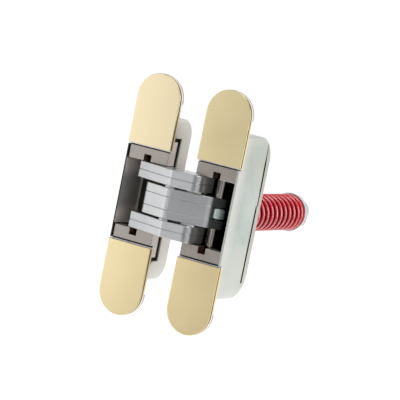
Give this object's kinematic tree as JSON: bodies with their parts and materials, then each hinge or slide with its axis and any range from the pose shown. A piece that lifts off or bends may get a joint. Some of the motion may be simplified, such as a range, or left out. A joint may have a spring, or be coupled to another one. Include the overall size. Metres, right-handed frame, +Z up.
{
  "type": "concealed door hinge",
  "caption": "Concealed self-closing door hinge: two slim round-ended halves joined by laminated scissor arms, with a red spring on a tie rod behind one half.",
  "frame": {"origin": "middle of the closer half, on the back plane of its screw flange, midway between its two screw holes", "axes": "+Z up along the hinge pins, +Y into the door or frame, +X along the faces from the plain half to the closer half"},
  "size_m": [0.063, 0.1009, 0.12],
  "materials": {
    "gold_cover": "satin champagne gold plating",
    "zinc_case": "smooth pale zinc plating",
    "nickel_block": "satin nickel",
    "steel_arm": "brushed bright zinc plated steel",
    "steel_pin": "ground and polished",
    "white_washer": "white acetal",
    "zinc_rod": "bluish zinc plating",
    "red_spring": "glossy red powder coat"
  },
  "bodies": {
    "closer": {"closer_case": "zinc_case", "closer_back": "zinc_case", "closer_cover_top": "gold_cover", "closer_cover_bottom": "gold_cover", "closer_block_top": "nickel_block", "closer_block_bottom": "nickel_block", "closer_pivot_pin": "steel_pin", "closer_spring": "red_spring"},
    "outer_arms": {"upper_arm_outer_plate": "steel_arm", "upper_arm_inner_plate": "steel_arm", "lower_arm_inner_plate": "steel_arm", "lower_arm_outer_plate": "steel_arm", "centre_pin": "steel_pin", "plain_slide_stub_top": "steel_pin", "plain_slide_stub_bottom": "steel_pin", "upper_washer": "white_washer", "lower_washer": "white_washer"},
    "middle_arm": {"middle_arm_top_plate": "steel_arm", "middle_arm_short_plate": "steel_arm", "middle_arm_bottom_plate": "steel_arm", "closer_slide_pin": "steel_pin"},
    "plain": {"plain_case": "zinc_case", "plain_cover_top": "gold_cover", "plain_cover_bottom": "gold_cover", "plain_block_top": "nickel_block", "plain_block_bottom": "nickel_block", "plain_pivot_pin": "steel_pin"},
    "tie_rod_set": {"tie_rod": "zinc_rod", "spring_washer": "zinc_rod", "adjuster_nut": "zinc_rod"}
  },
  "joints": [
    {"name": "outer_arm_pivot", "type": "hinge", "parent": "closer", "child": "outer_arms", "pos_m": [-0.0086, 0.0051, 0], "axis": [0, 0, 1], "range_deg": [0, 102.24]},
    {"name": "centre_pivot", "type": "hinge", "parent": "outer_arms", "child": "middle_arm", "pos_m": [-0.0194, 0, 0], "axis": [0, 0, 1], "range_deg": [-28.1, 0]},
    {"name": "plain_pivot", "type": "hinge", "parent": "middle_arm", "child": "plain", "pos_m": [-0.0322, 0.0021, 0], "axis": [0, 0, 1], "range_deg": [0, 105.86]},
    {"name": "tie_rod_pivot", "type": "hinge", "parent": "middle_arm", "child": "tie_rod_set", "pos_m": [0, 0.0055, 0], "axis": [0, 0, 1], "range_deg": [-74.18, 0], "deforming": ["closer_spring"]}
  ],
  "couplings": [
    {"joint": "centre_pivot", "follows": "outer_arm_pivot", "ratio": -0.27465},
    {"joint": "plain_pivot", "follows": "outer_arm_pivot", "ratio": 1.0352},
    {"joint": "tie_rod_pivot", "follows": "outer_arm_pivot", "ratio": -0.72535}
  ]
}
